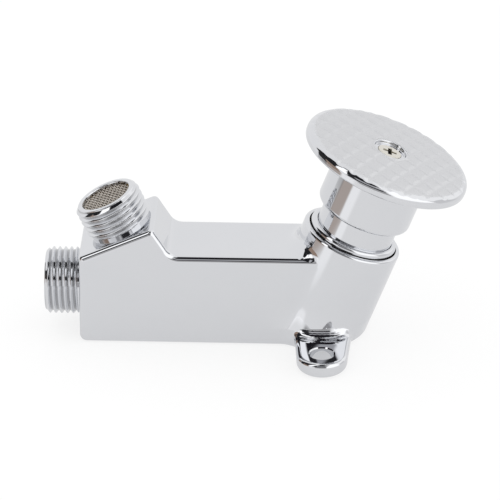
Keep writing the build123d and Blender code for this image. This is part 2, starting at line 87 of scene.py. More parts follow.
joints = {joint["name"]: joint for joint in record["behaviour"]["joints"]}
mounts = {mount["name"]: mount for mount in record["mounts"]}
turningPlace = 50.0  # level on the stem at which the pedal's hinge is given
stem = axisFrame(joints["pedal_turn"]["pos_m"], joints["pedal_turn"]["axis"], turningPlace)


def spigotFrame(mount):
    # the mount lies in the middle of the full thread, which ends where the lead begins
    middle = thread["length"] - thread["lead"] - mount["dims"]["length_mm"] / 2
    return axisFrame(mount["pos_m"], mount["axis"], middle)


inlet = spigotFrame(mounts["inlet_thread"])
outlet = spigotFrame(mounts["outlet_thread"])


def placed(axis, radius, angle, level):
    # point = origin + level * along + radius * (cos(angle) * out + sin(angle) * side), in millimetres
    radius, angle, level = np.broadcast_arrays(radius, angle, level)
    return (
        axis["origin"]
        + level[..., None] * axis["along"]
        + (radius * np.cos(angle))[..., None] * axis["out"]
        + (radius * np.sin(angle))[..., None] * axis["side"]
    )


def turnedNormal(axis, normalR, angle, normalL):
    # normal = normalL * along + normalR * (cos(angle) * out + sin(angle) * side)
    return placed(dict(axis, origin=np.zeros(3)), normalR, angle, normalL)


def cylindrical(axis, points):
    # level = offset . along, distance = length of what is left across the axis
    offset = points - axis["origin"]
    level = offset @ axis["along"]
    across = offset - level[:, None] * axis["along"]
    return level, np.linalg.norm(across, axis=1), across


def smoothStep(value):
    # 3 t^2 - 2 t^3 between 0 and 1
    t = np.clip(value, 0, 1)
    return t * t * (3 - 2 * t)


def roundedLoop(corners, steps=7):
    # closed outline of (radius, level, round) corners: each corner becomes an arc that meets both its sides
    # at a tangent, point = centre + round * normal, while the normal turns evenly between the sides
    corner = np.array(corners, float)
    place, size = corner[:, :2], corner[:, 2]
    before = place - np.roll(place, 1, 0)
    after = np.roll(place, -1, 0) - place
    before /= np.linalg.norm(before, axis=1)[:, None]
    after /= np.linalg.norm(after, axis=1)[:, None]
    turn = np.arctan2(before[:, 0] * after[:, 1] - before[:, 1] * after[:, 0], (before * after).sum(1))
    reach = size * np.tan(np.abs(turn) / 2)
    startNormal = np.arctan2(-before[:, 0], before[:, 1])
    angle = startNormal[:, None] + turn[:, None] * np.linspace(0, 1, steps)
    normal = np.stack([np.cos(angle), np.sin(angle)], -1)
    signed = (size * np.sign(turn))[:, None]
    centre = place - before * reach[:, None] - normal[:, 0] * signed
    point = centre[:, None] + normal * signed[..., None]
    return point.reshape(-1, 2), normal.reshape(-1, 2)


def gridFaces(rows, columns, closeRows, closeColumns):
    # square faces of a grid of points, one for each pair of neighbours in both directions
    i = np.arange(rows if closeRows else rows - 1)
    j = np.arange(columns if closeColumns else columns - 1)
    i, j = np.meshgrid(i, j, indexing="ij")
    k, m = (i + 1) % rows, (j + 1) % columns
    return np.stack([i * columns + j, i * columns + m, k * columns + m, k * columns + j], -1).reshape(-1, 4)


def gridNormals(points):
    # normal = step round the axis x step along the outline, both as differences between neighbours
    aroundStep = np.roll(points, -1, 1) - np.roll(points, 1, 1)
    alongStep = np.gradient(points, axis=0)
    normal = np.cross(aroundStep, alongStep)
    return normal / np.maximum(np.linalg.norm(normal, axis=-1), tiny)[..., None]


def weldedMesh(name, points, normals, faces, marks=None):
    # points that coincide become one, faces that collapse to a line go, and those that lose a corner
    # become triangles; each corner keeps the normal that was worked out for it
    keys = np.round(points * weldSteps).astype(np.int64)
    _, first, index = np.unique(keys, axis=0, return_index=True, return_inverse=True)
    index = index.reshape(-1)
    corner = index[faces]
    keep = corner != np.roll(corner, -1, 1)
    count = keep.sum(1)
    full = count >= 3
    corner, source, keep, count = corner[full], faces[full], keep[full], count[full]
    flat = keep.reshape(-1)
    loopVertex = corner.reshape(-1)[flat]
    loopNormal = normals[source.reshape(-1)[flat]]
    mesh = bpy.data.meshes.new(name)
    mesh.vertices.add(len(first))
    mesh.vertices.foreach_set("co", (points[first] * mm).astype(np.float32).reshape(-1))
    mesh.loops.add(len(loopVertex))
    mesh.loops.foreach_set("vertex_index", loopVertex.astype(np.int32))
    mesh.polygons.add(len(count))
    mesh.polygons.foreach_set("loop_start", (np.cumsum(count) - count).astype(np.int32))
    mesh.update(calc_edges=True)
    mesh.validate()
    mesh.polygons.foreach_set("use_smooth", np.ones(len(mesh.polygons), bool))
    if len(mesh.loops) == len(loopNormal):
        length = np.linalg.norm(loopNormal, axis=1)[:, None]
        mesh.normals_split_custom_set((loopNormal / np.maximum(length, tiny)).tolist())
    else:
        print("note:", name, "was mended, so its normals are worked out from its faces")
    for mark, values in (marks or {}).items():
        attribute = mesh.attributes.new(mark, "FLOAT", "POINT")
        attribute.data.foreach_set("value", values[first].astype(np.float32))
    piece = bpy.data.objects.new(name, mesh)
    bpy.context.scene.collection.objects.link(piece)
    return piece


def finished(piece, material, body, replaced=None):
    # material, body, slot and replaced node of a new piece
    piece.data.materials.append(material)
    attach(piece, body)
    if replaced:
        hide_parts(replaced)
    print(piece.name, "made,", len(piece.data.polygons), "faces")
    return piece


def newGroup(name, inputs, outputs):
    # node group with (name, kind, value) inputs and (name, kind) outputs
    group = bpy.data.node_groups.new(name, "ShaderNodeTree")
    for socketName, kind, value in inputs:
        socket = group.interface.new_socket(name=socketName, in_out="INPUT", socket_type=kind)
        if value is not None:
            socket.default_value = value
    for socketName, kind in outputs:
        group.interface.new_socket(name=socketName, in_out="OUTPUT", socket_type=kind)
    return group, group.nodes.new("NodeGroupInput"), group.nodes.new("NodeGroupOutput")


def link(tree, fromSocket, toSocket):
    # the second socket takes its value from the first
    tree.links.new(fromSocket, toSocket)


def mathNode(tree, operation, *values):
    # a value is a number or the socket that it comes from
    node = tree.nodes.new("ShaderNodeMath")
    node.operation = operation
    for place, value in enumerate(values):
        if isinstance(value, (int, float)):
            node.inputs[place].default_value = value
        else:
            link(tree, value, node.inputs[place])
    return node.outputs[0]


def colourMix(tree, factor, first, second):
    # a colour is three numbers or the socket that it comes from
    mix = tree.nodes.new("ShaderNodeMix")
    mix.data_type = "RGBA"
    link(tree, factor, mix.inputs["Factor"])
    for socket, colour in ((mix.inputs["A"], first), (mix.inputs["B"], second)):
        if isinstance(colour, tuple):
            socket.default_value = colour + (1.0,)
        else:
            link(tree, colour, socket)
    return mix.outputs["Result"]


def noiseNode(tree, vector, scale, detail=2.0, roughness=0.5):
    # noise between 0 and 1; the scale is a number or the socket that it comes from
    noise = tree.nodes.new("ShaderNodeTexNoise")
    noise.inputs["Detail"].default_value = detail
    noise.inputs["Roughness"].default_value = roughness
    link(tree, vector, noise.inputs["Vector"])
    if isinstance(scale, float):
        noise.inputs["Scale"].default_value = scale
    else:
        link(tree, scale, noise.inputs["Scale"])
    return noise.outputs["Fac"]


# marks of polishing that all the metals share, with the bumps' distances in metres
marking = {
    "middle": 0.4,
    "leastRoughness": 0.015,
    "smearDetail": 4.0,
    "smearRoughness": 0.6,
    "waveScale": 95.0,
    "waveDetail": 1.0,
    "waveDistance": 0.001,
    "grainScale": 1400.0,
    "grainDetail": 2.0,
    "grainDistance": 0.0001,
}


def polishMarks():
    # faint wiping marks and a wavy surface, as on polished and plated castings:
    # roughness = base + spread * (noise - middle), height = noise at a slow wave and at a fine grain
    group, start, end = newGroup(
        "polishMarks",
        [
            ("Vector", "NodeSocketVector", None),
            ("Scale", "NodeSocketFloat", 60.0),
            ("Roughness", "NodeSocketFloat", 0.05),
            ("Spread", "NodeSocketFloat", 0.03),
            ("Wave", "NodeSocketFloat", 0.02),
            ("Grain", "NodeSocketFloat", 0.02),
        ],
        [("Roughness", "NodeSocketFloat"), ("Normal", "NodeSocketVector"), ("Tint", "NodeSocketFloat")],
    )
    vector = start.outputs["Vector"]
    detail, roughness = marking["smearDetail"], marking["smearRoughness"]
    smear = noiseNode(group, vector, start.outputs["Scale"], detail, roughness)
    centred = mathNode(group, "SUBTRACT", smear, marking["middle"])
    spread = mathNode(group, "MULTIPLY_ADD", centred, start.outputs["Spread"], start.outputs["Roughness"])
    link(group, mathNode(group, "MAXIMUM", spread, marking["leastRoughness"]), end.inputs["Roughness"])
    link(group, smear, end.inputs["Tint"])
    wave = group.nodes.new("ShaderNodeBump")
    wave.inputs["Distance"].default_value = marking["waveDistance"]
    link(group, start.outputs["Wave"], wave.inputs["Strength"])
    slow = noiseNode(group, vector, marking["waveScale"], marking["waveDetail"])
    link(group, slow, wave.inputs["Height"])
    fine = group.nodes.new("ShaderNodeBump")
    fine.inputs["Distance"].default_value = marking["grainDistance"]
    link(group, start.outputs["Grain"], fine.inputs["Strength"])
    grain = noiseNode(group, vector, marking["grainScale"], marking["grainDetail"])
    link(group, grain, fine.inputs["Height"])
    link(group, wave.outputs["Normal"], fine.inputs["Normal"])
    link(group, fine.outputs["Normal"], end.inputs["Normal"])
    return group


polish = polishMarks()


def shaderMaterial(name):
    # new material with its tree, its shader and the coordinates that its patterns follow
    material = bpy.data.materials.new(name)
    material.use_nodes = True
    tree = material.node_tree
    shader = tree.nodes["Principled BSDF"]
    place = tree.nodes.new("ShaderNodeTexCoord")
    return material, tree, shader, place


def attributeNode(tree, name):
    # value of the piece's own mark, and 0 on a piece without it
    attribute = tree.nodes.new("ShaderNodeAttribute")
    attribute.attribute_name = name
    return attribute.outputs["Fac"]


def metal(name, finish):
    # metal whose roughness, tint and surface come from polishMarks; where the piece's own mark is 1 it
    # shows that mark's colour
    # and roughness instead: a near-black painted shade in bores, gaps, thread roots and the screw's recess,
    # and the blasted satin on the pedal
    material, tree, shader, place = shaderMaterial(name)
    shader.inputs["Metallic"].default_value = 1.0
    marks = tree.nodes.new("ShaderNodeGroup")
    marks.node_tree = polish
    for socketName, key in (
        ("Scale", "scale"),
        ("Roughness", "roughness"),
        ("Spread", "spread"),
        ("Wave", "wave"),
        ("Grain", "grain"),
    ):
        marks.inputs[socketName].default_value = finish[key]
    link(tree, place.outputs["Object"], marks.inputs["Vector"])
    link(tree, marks.outputs["Normal"], shader.inputs["Normal"])
    paintedShadeOrSatin = attributeNode(tree, "paintedShadeOrSatin")
    tinted = colourMix(tree, marks.outputs["Tint"], finish["colour"], finish["colourTwo"])
    link(tree, colourMix(tree, paintedShadeOrSatin, tinted, finish["paintedShadeOrSatinColour"]), shader.inputs["Base Color"])
    rougher = mathNode(tree, "MULTIPLY_ADD", paintedShadeOrSatin, finish["paintedShadeOrSatinRoughness"], marks.outputs["Roughness"])
    link(tree, rougher, shader.inputs["Roughness"])
    return material


chromeFinish = {
    "colour": (0.715, 0.725, 0.75),
    "colourTwo": (0.745, 0.752, 0.77),
    "scale": 55.0,
    "roughness": 0.03,
    "spread": 0.03,
    "wave": 0.02,
    "grain": 0.0,
    # near-black painted shade for the marked bores, socket, gap and thread roots, which are also rougher
    "paintedShadeOrSatinColour": (0.035, 0.028, 0.020),
    "paintedShadeOrSatinRoughness": 0.45,
}
# the pedal's chequered top is blasted before plating, and its mark is 1 there, so it shows the satin colour
# and roughness
pedalFinish = dict(
    chromeFinish,
    scale=420.0,
    spread=0.05,
    wave=0.0,
    grain=0.10,
    paintedShadeOrSatinColour=(0.68, 0.685, 0.70),
    paintedShadeOrSatinRoughness=0.30,
)
brassFinish = dict(
    chromeFinish,
    colour=(0.62, 0.45, 0.20),
    colourTwo=(0.70, 0.52, 0.26),
    scale=300.0,
    roughness=0.24,
    spread=0.12,
    grain=0.2,
)
steelFinish = dict(
    chromeFinish,
    colour=(0.56, 0.54, 0.51),
    colourTwo=(0.64, 0.62, 0.58),
    scale=500.0,
    roughness=0.20,
    spread=0.10,
    grain=0.1,
)
screwFinish = dict(
    steelFinish,
    colour=(0.72, 0.69, 0.62),
    colourTwo=(0.78, 0.76, 0.70),
    roughness=0.12,
    spread=0.08,
    # near-black painted shade in the screw's cross recess
    paintedShadeOrSatinColour=(0.012, 0.010, 0.008),
    paintedShadeOrSatinRoughness=0.5,
)
wireFinish = dict(
    steelFinish,
    colour=(0.40, 0.34, 0.28),
    colourTwo=(0.92, 0.88, 0.82),
    scale=900.0,
    roughness=0.12,
)
chrome = metal("brightChrome", chromeFinish)
satinChrome = metal("satinChrome", pedalFinish)
brass = metal("turnedBrass", brassFinish)
steel = metal("stainlessSteel", steelFinish)
screwSteel = metal("screwSteel", screwFinish)
meshWire = metal("meshWire", wireFinish)


mouldGrain = {"scale": 900.0, "detail": 3.0, "distance": 0.0001}


def mouldedMaterial(name, finish):
    # plain moulded surface: one noise mixes its two colours and raises its fine grain
    material, tree, shader, place = shaderMaterial(name)
    grain = noiseNode(tree, place.outputs["Object"], mouldGrain["scale"], mouldGrain["detail"])
    mixed = colourMix(tree, grain, finish["colour"], finish["colourTwo"])
    link(tree, mixed, shader.inputs["Base Color"])
    shader.inputs["Roughness"].default_value = finish["roughness"]
    bump = tree.nodes.new("ShaderNodeBump")
    bump.inputs["Strength"].default_value = finish["grain"]
    bump.inputs["Distance"].default_value = mouldGrain["distance"]
    link(tree, grain, bump.inputs["Height"])
    link(tree, bump.outputs["Normal"], shader.inputs["Normal"])
    return material


rubberFinish = {
    "colour": (0.012, 0.012, 0.012),
    "colourTwo": (0.03, 0.03, 0.03),
    "roughness": 0.65,
    "grain": 0.3,
}
acetalFinish = {
    "colour": (0.72, 0.72, 0.69),
    "colourTwo": (0.80, 0.80, 0.77),
    "roughness": 0.40,
    "grain": 0.1,
}
rubber = mouldedMaterial("blackRubber", rubberFinish)
acetal = mouldedMaterial("whiteAcetal", acetalFinish)

nodeMaterials = {
    "valve_body": chrome,
    "bonnet_ring": chrome,
    "push_cap": chrome,
    "pedal_plate": satinChrome,
    "pedal_screw": screwSteel,
    "strainer_mesh": meshWire,
    "strainer_ring": brass,
    "cartridge": brass,
    "seal_holder": brass,
    "spindle": steel,
    "retaining_clip": steel,
    "return_spring": steel,
    "guide_bush": acetal,
    "slip_washer": acetal,
    "seat_seal": rubber,
    "cartridge_lower_ring": rubber,
    "cartridge_upper_ring": rubber,
    "spindle_lower_seal": rubber,
    "spindle_upper_seal": rubber,
    "bonnet_gasket": rubber,
    "wiper_ring": rubber,
}
for nodeName, material in nodeMaterials.items():
    data = nodes[nodeName].data
    data.materials.clear()
    data.materials.append(material)
print("materials made")


# the barrel swells a little above each floor lug, which turns its mirrored view down to the floor; the
# lengths are in metres, and the lugs lie at x = 0
swell = {
    "top": 0.0156,
    "bottom": 0.0062,
    "slope": 0.14,
    "length": 0.006,
    "halfWidth": 0.008,
    "fade": 0.014,
}


def rootSwell():
    # height = slope * length / 2 * s squared, where s = (top - level) / length, held at 0 above the top and
    # at its last value below the bottom; the whole fades out with the distance |x| from the lugs
    place, raised = ("Vector", "NodeSocketVector", None), ("Height", "NodeSocketFloat")
    group, start, end = newGroup("rootSwell", [place], [raised])
    split = group.nodes.new("ShaderNodeSeparateXYZ")
    link(group, start.outputs["Vector"], split.inputs[0])
    level = mathNode(group, "MAXIMUM", split.outputs["Z"], swell["bottom"])
    below = mathNode(group, "MAXIMUM", mathNode(group, "SUBTRACT", swell["top"], level), 0.0)
    s = mathNode(group, "DIVIDE", below, swell["length"])
    square = mathNode(group, "MULTIPLY", s, s)
    height = mathNode(group, "MULTIPLY", square, swell["slope"] * swell["length"] / 2)
    fade = group.nodes.new("ShaderNodeMapRange")
    fade.interpolation_type = "SMOOTHSTEP"
    aside = mathNode(group, "ABSOLUTE", split.outputs["X"])
    link(group, aside, fade.inputs["Value"])
    fade.inputs["From Min"].default_value = swell["halfWidth"]
    fade.inputs["From Max"].default_value = swell["halfWidth"] + swell["fade"]
    fade.inputs["To Min"].default_value = 1.0
    fade.inputs["To Max"].default_value = 0.0
    link(group, mathNode(group, "MULTIPLY", height, fade.outputs["Result"]), end.inputs["Height"])
    return group


def castMetal():
    # the chrome of the other pieces, whose normal is then bent by the slope of the swelling's height; a
    # strength and a distance of 1 take that height as metres
    material = metal("castChrome", chromeFinish)
    tree = material.node_tree
    shader = tree.nodes["Principled BSDF"]
    place = tree.nodes.new("ShaderNodeTexCoord")
    raised = tree.nodes.new("ShaderNodeGroup")
    raised.node_tree = rootSwell()
    link(tree, place.outputs["Object"], raised.inputs["Vector"])
    bump = tree.nodes.new("ShaderNodeBump")
    bump.inputs["Strength"].default_value = 1.0
    bump.inputs["Distance"].default_value = 1.0
    link(tree, raised.outputs["Height"], bump.inputs["Height"])
    link(tree, shader.inputs["Normal"].links[0].from_socket, bump.inputs["Normal"])
    link(tree, bump.outputs["Normal"], shader.inputs["Normal"])
    return material


# the casting's spigots are drawn in to this radius, and shortened, to leave room for the threads on them;
# the margins tell a spigot's own points, and its bore's, from the rest of the casting
casting = {
    "sleeveInner": 8.55,
    "drawnFrom": 8.6,
    "shortened": 10.6,
    "rootMargin": 0.02,
    "mouthMargin": 0.5,
    "threadMargin": 0.07,
    "boreMargin": 0.05,
    "boreDepth": 20,
    "platedMouth": 0.4,
    "socketRadius": 14.4,
    "socketFloor": 6,
    "socketTop": 34.85,
}


def castBody():
    # the casting's own triangles and normals: radius = sleeve radius and level = shortened level on the
    # spigots, while the waterways and the bonnet's socket are marked for painted shade, near black and
    # rougher
    source = nodes["valve_body"].data
    points = np.empty(len(source.vertices) * 3)
    source.vertices.foreach_get("co", points)
    points = points.reshape(-1, 3) / mm
    corner = np.empty(len(source.loops), np.int32)
    source.loops.foreach_get("vertex_index", corner)
    normal = np.empty(len(source.loops) * 3)
    source.corner_normals.foreach_get("vector", normal)
    points, normal = points[corner], normal.reshape(-1, 3)
    paintedShadeOrSatin = np.zeros(len(points))
    for spigot in (inlet, outlet):
        level, distance, across = cylindrical(spigot, points)
        onSpigot = (level > -casting["rootMargin"]) & (level < thread["length"] + casting["mouthMargin"])
        onSpigot &= distance < thread["major"] + casting["threadMargin"]
        drawnIn = onSpigot & (distance > casting["drawnFrom"])
        scale = np.where(drawnIn, casting["sleeveInner"] / np.maximum(distance, tiny), 1.0)
        shorter = np.where(onSpigot, np.minimum(level, casting["shortened"]), level)
        points = spigot["origin"] + shorter[:, None] * spigot["along"] + across * scale[:, None]
        # painted shade: the bores are marked to go near black, short of the mouth
        inBore = (level > -casting["boreDepth"]) & (level < casting["shortened"] - casting["platedMouth"])
        paintedShadeOrSatin[inBore & (distance < thread["bore"] + casting["boreMargin"])] = 1
    # painted shade: the socket's walls round the bonnet ring's gap are marked to go near black
    level, distance, across = cylindrical(stem, points)
    inSocket = (level > casting["socketFloor"]) & (level < casting["socketTop"])
    paintedShadeOrSatin[inSocket & (distance < casting["socketRadius"])] = 1
    faces = np.arange(len(points)).reshape(-1, 3)
    return weldedMesh("castBody", points, normal, faces, {"paintedShadeOrSatin": paintedShadeOrSatin})


finished(castBody(), castMetal(), "base", "valve_body")


inletCollar = {"radius": 9.4, "end": 0.8, "rise": 0.5}
outletCollar = {"radius": 10.0, "end": 0.5, "rise": 0.5}
# sleeve round a spigot that carries the thread: its mouth's two edges, its fit over the casting, and its
# foot, which reaches a little way into the casting
sleeve = {
    "mouthLip": 0.35,
    "lipStart": 0.7,
    "outerInset": 0.25,
    "outerRound": 0.30,
    "innerInset": 0.12,
    "innerRound": 0.25,
    "edgeRound": 0.02,
    "gap": 0.02,
    "mouthOverlap": 0.05,
    "foot": -0.3,
    "edgeSteps": 7,
    "segments": 192,
}


def threadedSleeve(name, axis, collar):
    # radius = major - depth * wave(level / pitch - angle / 2 pi), where wave is a triangle wave with its
    # corners rounded by an arcsine; the collar, the lead chamfer and the mouth cut it off
    major, pitch, depth, length = thread["major"], thread["pitch"], thread["depth"], thread["length"]
    segments, edgeSteps, edge = sleeve["segments"], sleeve["edgeSteps"], sleeve["edgeRound"]
    angle = np.linspace(0, fullTurn, segments, endpoint=False)[None, :]
    rows = int(length / pitch * thread["samplesPerTurn"])
    level = np.linspace(0.0, length - sleeve["mouthLip"], rows)[:, None]
    phase = level / pitch - angle / fullTurn
    sharp = thread["sharpness"]
    wave = 0.5 + np.arcsin(sharp * np.sin(fullTurn * phase)) / (2 * math.asin(sharp))
    fade = smoothStep((level - collar["end"]) / collar["rise"])
    radius = (collar["radius"] - major) * (1 - fade) + major - depth * wave * fade
    chamfer = major - np.clip(level - (length - thread["lead"]), 0, None) * thread["leadSlope"]
    blend = thread["leadBlend"]
    radius = -np.logaddexp(-radius * blend, -chamfer * blend) / blend
    endRadius = float(radius[-1].mean())
    outer = placed(axis, radius, angle, level)
    bore, foot = thread["bore"], sleeve["foot"]
    inner, shortened = casting["sleeveInner"] + sleeve["gap"], casting["shortened"] - sleeve["mouthOverlap"]
    rim, rimNormal = roundedLoop(
        [
            (endRadius, length - sleeve["lipStart"], 0.0001),
            (endRadius - sleeve["outerInset"], length, sleeve["outerRound"]),
            (bore + sleeve["innerInset"], length, sleeve["innerRound"]),
            (bore, shortened, edge),
            (inner, shortened, edge),
            (inner, foot, edge),
            (collar["radius"], foot, edge),
        ],
        edgeSteps,
    )
    # the first corner only gives the lip its direction
    rim, rimNormal = rim[edgeSteps:], rimNormal[edgeSteps:]
    rest = placed(axis, rim[:, :1], angle, rim[:, 1:])
    restNormal = turnedNormal(axis, rimNormal[:, :1], angle, rimNormal[:, 1:])
    points = np.concatenate([outer, rest])
    normals = np.concatenate([gridNormals(outer), restNormal])
    faces = gridFaces(len(points), segments, True, True)
    # the grooves' roots, where the wave is near 1, get painted shade: darker towards near black, and
    # rougher
    root = thread["rootShade"] * smoothStep((wave - thread["rootShadeFrom"]) / thread["rootShadeOver"]) * fade
    marks = np.concatenate([root.reshape(-1), np.zeros(rest.shape[0] * segments)])
    piece = weldedMesh(name, points.reshape(-1, 3), normals.reshape(-1, 3), faces, {"paintedShadeOrSatin": marks})
    finished(piece, chrome, "base")


threadedSleeve("inletThread", inlet, inletCollar)
threadedSleeve("outletThread", outlet, outletCollar)


def turned(name, axis, corners, segments=224, steps=9, paintedShadeBelow=None):
    # outline carried round the axis, angle = 2 pi * v; what lies below a level outside a radius is marked
    # for painted shade
    outline, outward = roundedLoop(corners, steps)
    angle = np.linspace(0, fullTurn, segments, endpoint=False)[None, :]
    points = placed(axis, outline[:, :1], angle, outline[:, 1:])
    normals = turnedNormal(axis, outward[:, :1], angle, outward[:, 1:])
    faces = gridFaces(len(outline), segments, True, True)
    paintedShadeOrSatin = np.zeros((len(outline), segments))
    if paintedShadeBelow:
        paintedShadeOrSatin[(outline[:, 0] > paintedShadeBelow[0]) & (outline[:, 1] < paintedShadeBelow[1])] = 1
    return weldedMesh(name, points.reshape(-1, 3), normals.reshape(-1, 3), faces, {"paintedShadeOrSatin": paintedShadeOrSatin.reshape(-1)})


# woven disc of the strainer, turned a little in its ring as it was pushed in
strainer = {
    "radius": 7.7,
    "pitch": 0.98,
    "wire": 0.20,
    "depth": 1.35,
    "turn": 37.0,
    "clearance": 0.02,
    "pointedFrom": 0.999,
    "testFace": 200,
    "steps": 96,
    "sides": 6,
}


def strainerWeave():
    # each wire runs straight across and bobs over and under the wires that it crosses:
    # height = wire radius * cos(pi * (distance / pitch + wire number)), with a round section drawn to a
    # point at both ends; the second set of wires is the first one with its two directions exchanged
    pitch, wire = strainer["pitch"], strainer["wire"]
    count = int(strainer["radius"] / pitch)
    number = np.arange(-count, count + 1)
    shift = number * pitch
    half = np.sqrt(strainer["radius"] ** 2 - shift ** 2) - strainer["clearance"]
    t = np.linspace(-1, 1, strainer["steps"])
    run = half[:, None] * t[None, :]
    phase = math.pi * (run / pitch + number[:, None])
    tilt = np.arctan(-wire * math.pi / pitch * np.sin(phase))[..., None]
    around = np.linspace(0, fullTurn, strainer["sides"], endpoint=False)[None, None, :]
    section = np.where(np.abs(t) > strainer["pointedFrom"], 0.0, wire)[None, :, None]
    ahead = run[..., None] - section * np.sin(around) * np.sin(tilt)
    across = shift[:, None, None] + section * np.cos(around) + 0 * ahead
    height = wire * np.cos(phase)[..., None] + section * np.sin(around) * np.cos(tilt)
    normalAhead = -np.sin(around) * np.sin(tilt)
    normalAcross = np.cos(around) + 0 * ahead
    normalHeight = np.sin(around) * np.cos(tilt)
    level = thread["length"] - strainer["depth"]
    one = gridFaces(len(t), strainer["sides"], False, True)
    size = len(t) * strainer["sides"]
    turn = math.radians(strainer["turn"])
    directionOne = math.cos(turn) * inlet["out"] + math.sin(turn) * inlet["side"]
    directionTwo = np.cross(inlet["along"], directionOne)
    middle = inlet["origin"] + level * inlet["along"]
    wireSets = ((directionOne, directionTwo, 1), (directionTwo, directionOne, -1))
    allPoints, allNormals, allFaces = [], [], []
    for step, (first, second, sign) in enumerate(wireSets):
        up = sign * inlet["along"]
        points = middle + ahead[..., None] * first + across[..., None] * second + height[..., None] * up
        flat = normalAhead[..., None] * first + normalAcross[..., None] * second
        normals = flat + normalHeight[..., None] * up
        start = (np.arange(len(number)) * size + step * len(number) * size)[:, None, None]
        faces = (one[None] + start).reshape(-1, 4)
        allFaces.append(faces)
        allPoints.append(points.reshape(-1, 3))
        allNormals.append(normals.reshape(-1, 3))
    points, normals, faces = np.concatenate(allPoints), np.concatenate(allNormals), np.concatenate(allFaces)
    # a set whose directions are exchanged and turned over keeps its hand, so one test does for both
    test = faces[strainer["testFace"]]
    edgeOne = points[test[1]] - points[test[0]]
    edgeTwo = points[test[3]] - points[test[0]]
    if np.dot(np.cross(edgeOne, edgeTwo), normals[test[0]]) < 0:
        faces = faces[:, ::-1]
    return weldedMesh("strainerWeave", points, normals, faces)


finished(strainerWeave(), meshWire, "base", "strainer_mesh")


# outlines are (radius, level on the stem, rounding) corners
bonnet = {
    "outline": [
        (12.18, 30.5, 0.05),
        (14.2, 30.5, 0.10),
        (14.2, 34.3, 0.05),
        (13.85, 34.7, 0.10),
        (13.95, 36.8, 1.25),
        (12.32, 36.8, 0.10),
        (12.18, 36.6, 0.05),
        (12.18, 35.6, 0.05),
    ],
    # painted shade on the ring's outer wall below this level, in the gap inside the casting's socket
    "paintedShadeBelow": (12.4, 34.85),
}
finished(
    turned("bonnetRing", stem, bonnet["outline"], paintedShadeBelow=bonnet["paintedShadeBelow"]),
    chrome,
    "base",
    "bonnet_ring",
)

cap = {
    "outline": [
        (10.2, 33.8, 0.15),
        (12.1, 33.8, 0.25),
        (12.1, 43.6, 0.12),
        (14.8, 43.6, 1.50),
        (14.8, 61.4, 0.08),
        (2.1, 61.4, 0.05),
        (2.1, 59.4, 0.05),
        (3.55, 59.4, 0.05),
        (3.55, 57.2, 0.05),
        (10.2, 57.2, 0.30),
    ]
}
finished(turned("pushCap", stem, cap["outline"]), chrome, "plunger", "push_cap")


plate = {
    "radius": 26.15,
    "low": 61.4,
    "rim": 64.9,
    "crown": 1.55,
    "topRound": 2.15,
    "lowRound": 0.9,
    "recess": 5.15,
    "recessRound": 0.45,
    "recessTaper": 0.15,
    "recessFloor": 65.34,
    "floorRound": 0.35,
    "sinkRadius": 3.85,
    "holeRadius": 2.1,
    "edgeRound": 0.05,
    "rimJoin": 0.02,
    "latticeOne": (2.5, 4.9),
    "latticeTwo": (4.4, -2.6),
    "grooveDepth": 0.26,
    "grooveWidth": 1.5,
    "recessFade": 0.6,
    "rimFade": 2.6,
    "satinPast": 0.35,
    "satinFade": 0.8,
    "domeRows": 88,
    "rimRows": 18,
    "edgeSteps": 9,
    "segments": 560,
}
plate["domeRadius"] = (plate["radius"] ** 2 + plate["crown"] ** 2) / (2 * plate["crown"])


def domeLevel(radius):
    # level = rim + crown - dome radius + sqrt(dome radius^2 - radius^2)
    sphere = plate["domeRadius"]
    return plate["rim"] + plate["crown"] - sphere + np.sqrt(sphere ** 2 - radius ** 2)


def chequerHeight(a, b):
    # a and b become steps along the two directions of the lattice; each whole step lies on a groove, and
    # the depth is that of the nearer groove, falling off with a cosine to both sides
    one, two = np.array(plate["latticeOne"]), np.array(plate["latticeTwo"])
    inverse = np.linalg.inv(np.stack([one, two], 1))
    first = inverse[0, 0] * a + inverse[0, 1] * b
    second = inverse[1, 0] * a + inverse[1, 1] * b
    area = abs(one[0] * two[1] - one[1] * two[0])
    distanceOne = np.abs(first - np.round(first)) * area / np.linalg.norm(two)
    distanceTwo = np.abs(second - np.round(second)) * area / np.linalg.norm(one)
    nearest = np.minimum(distanceOne, distanceTwo)
    groove = np.clip(1 - nearest / plate["grooveWidth"], 0, 1)
    return -plate["grooveDepth"] * (0.5 - 0.5 * np.cos(math.pi * groove))


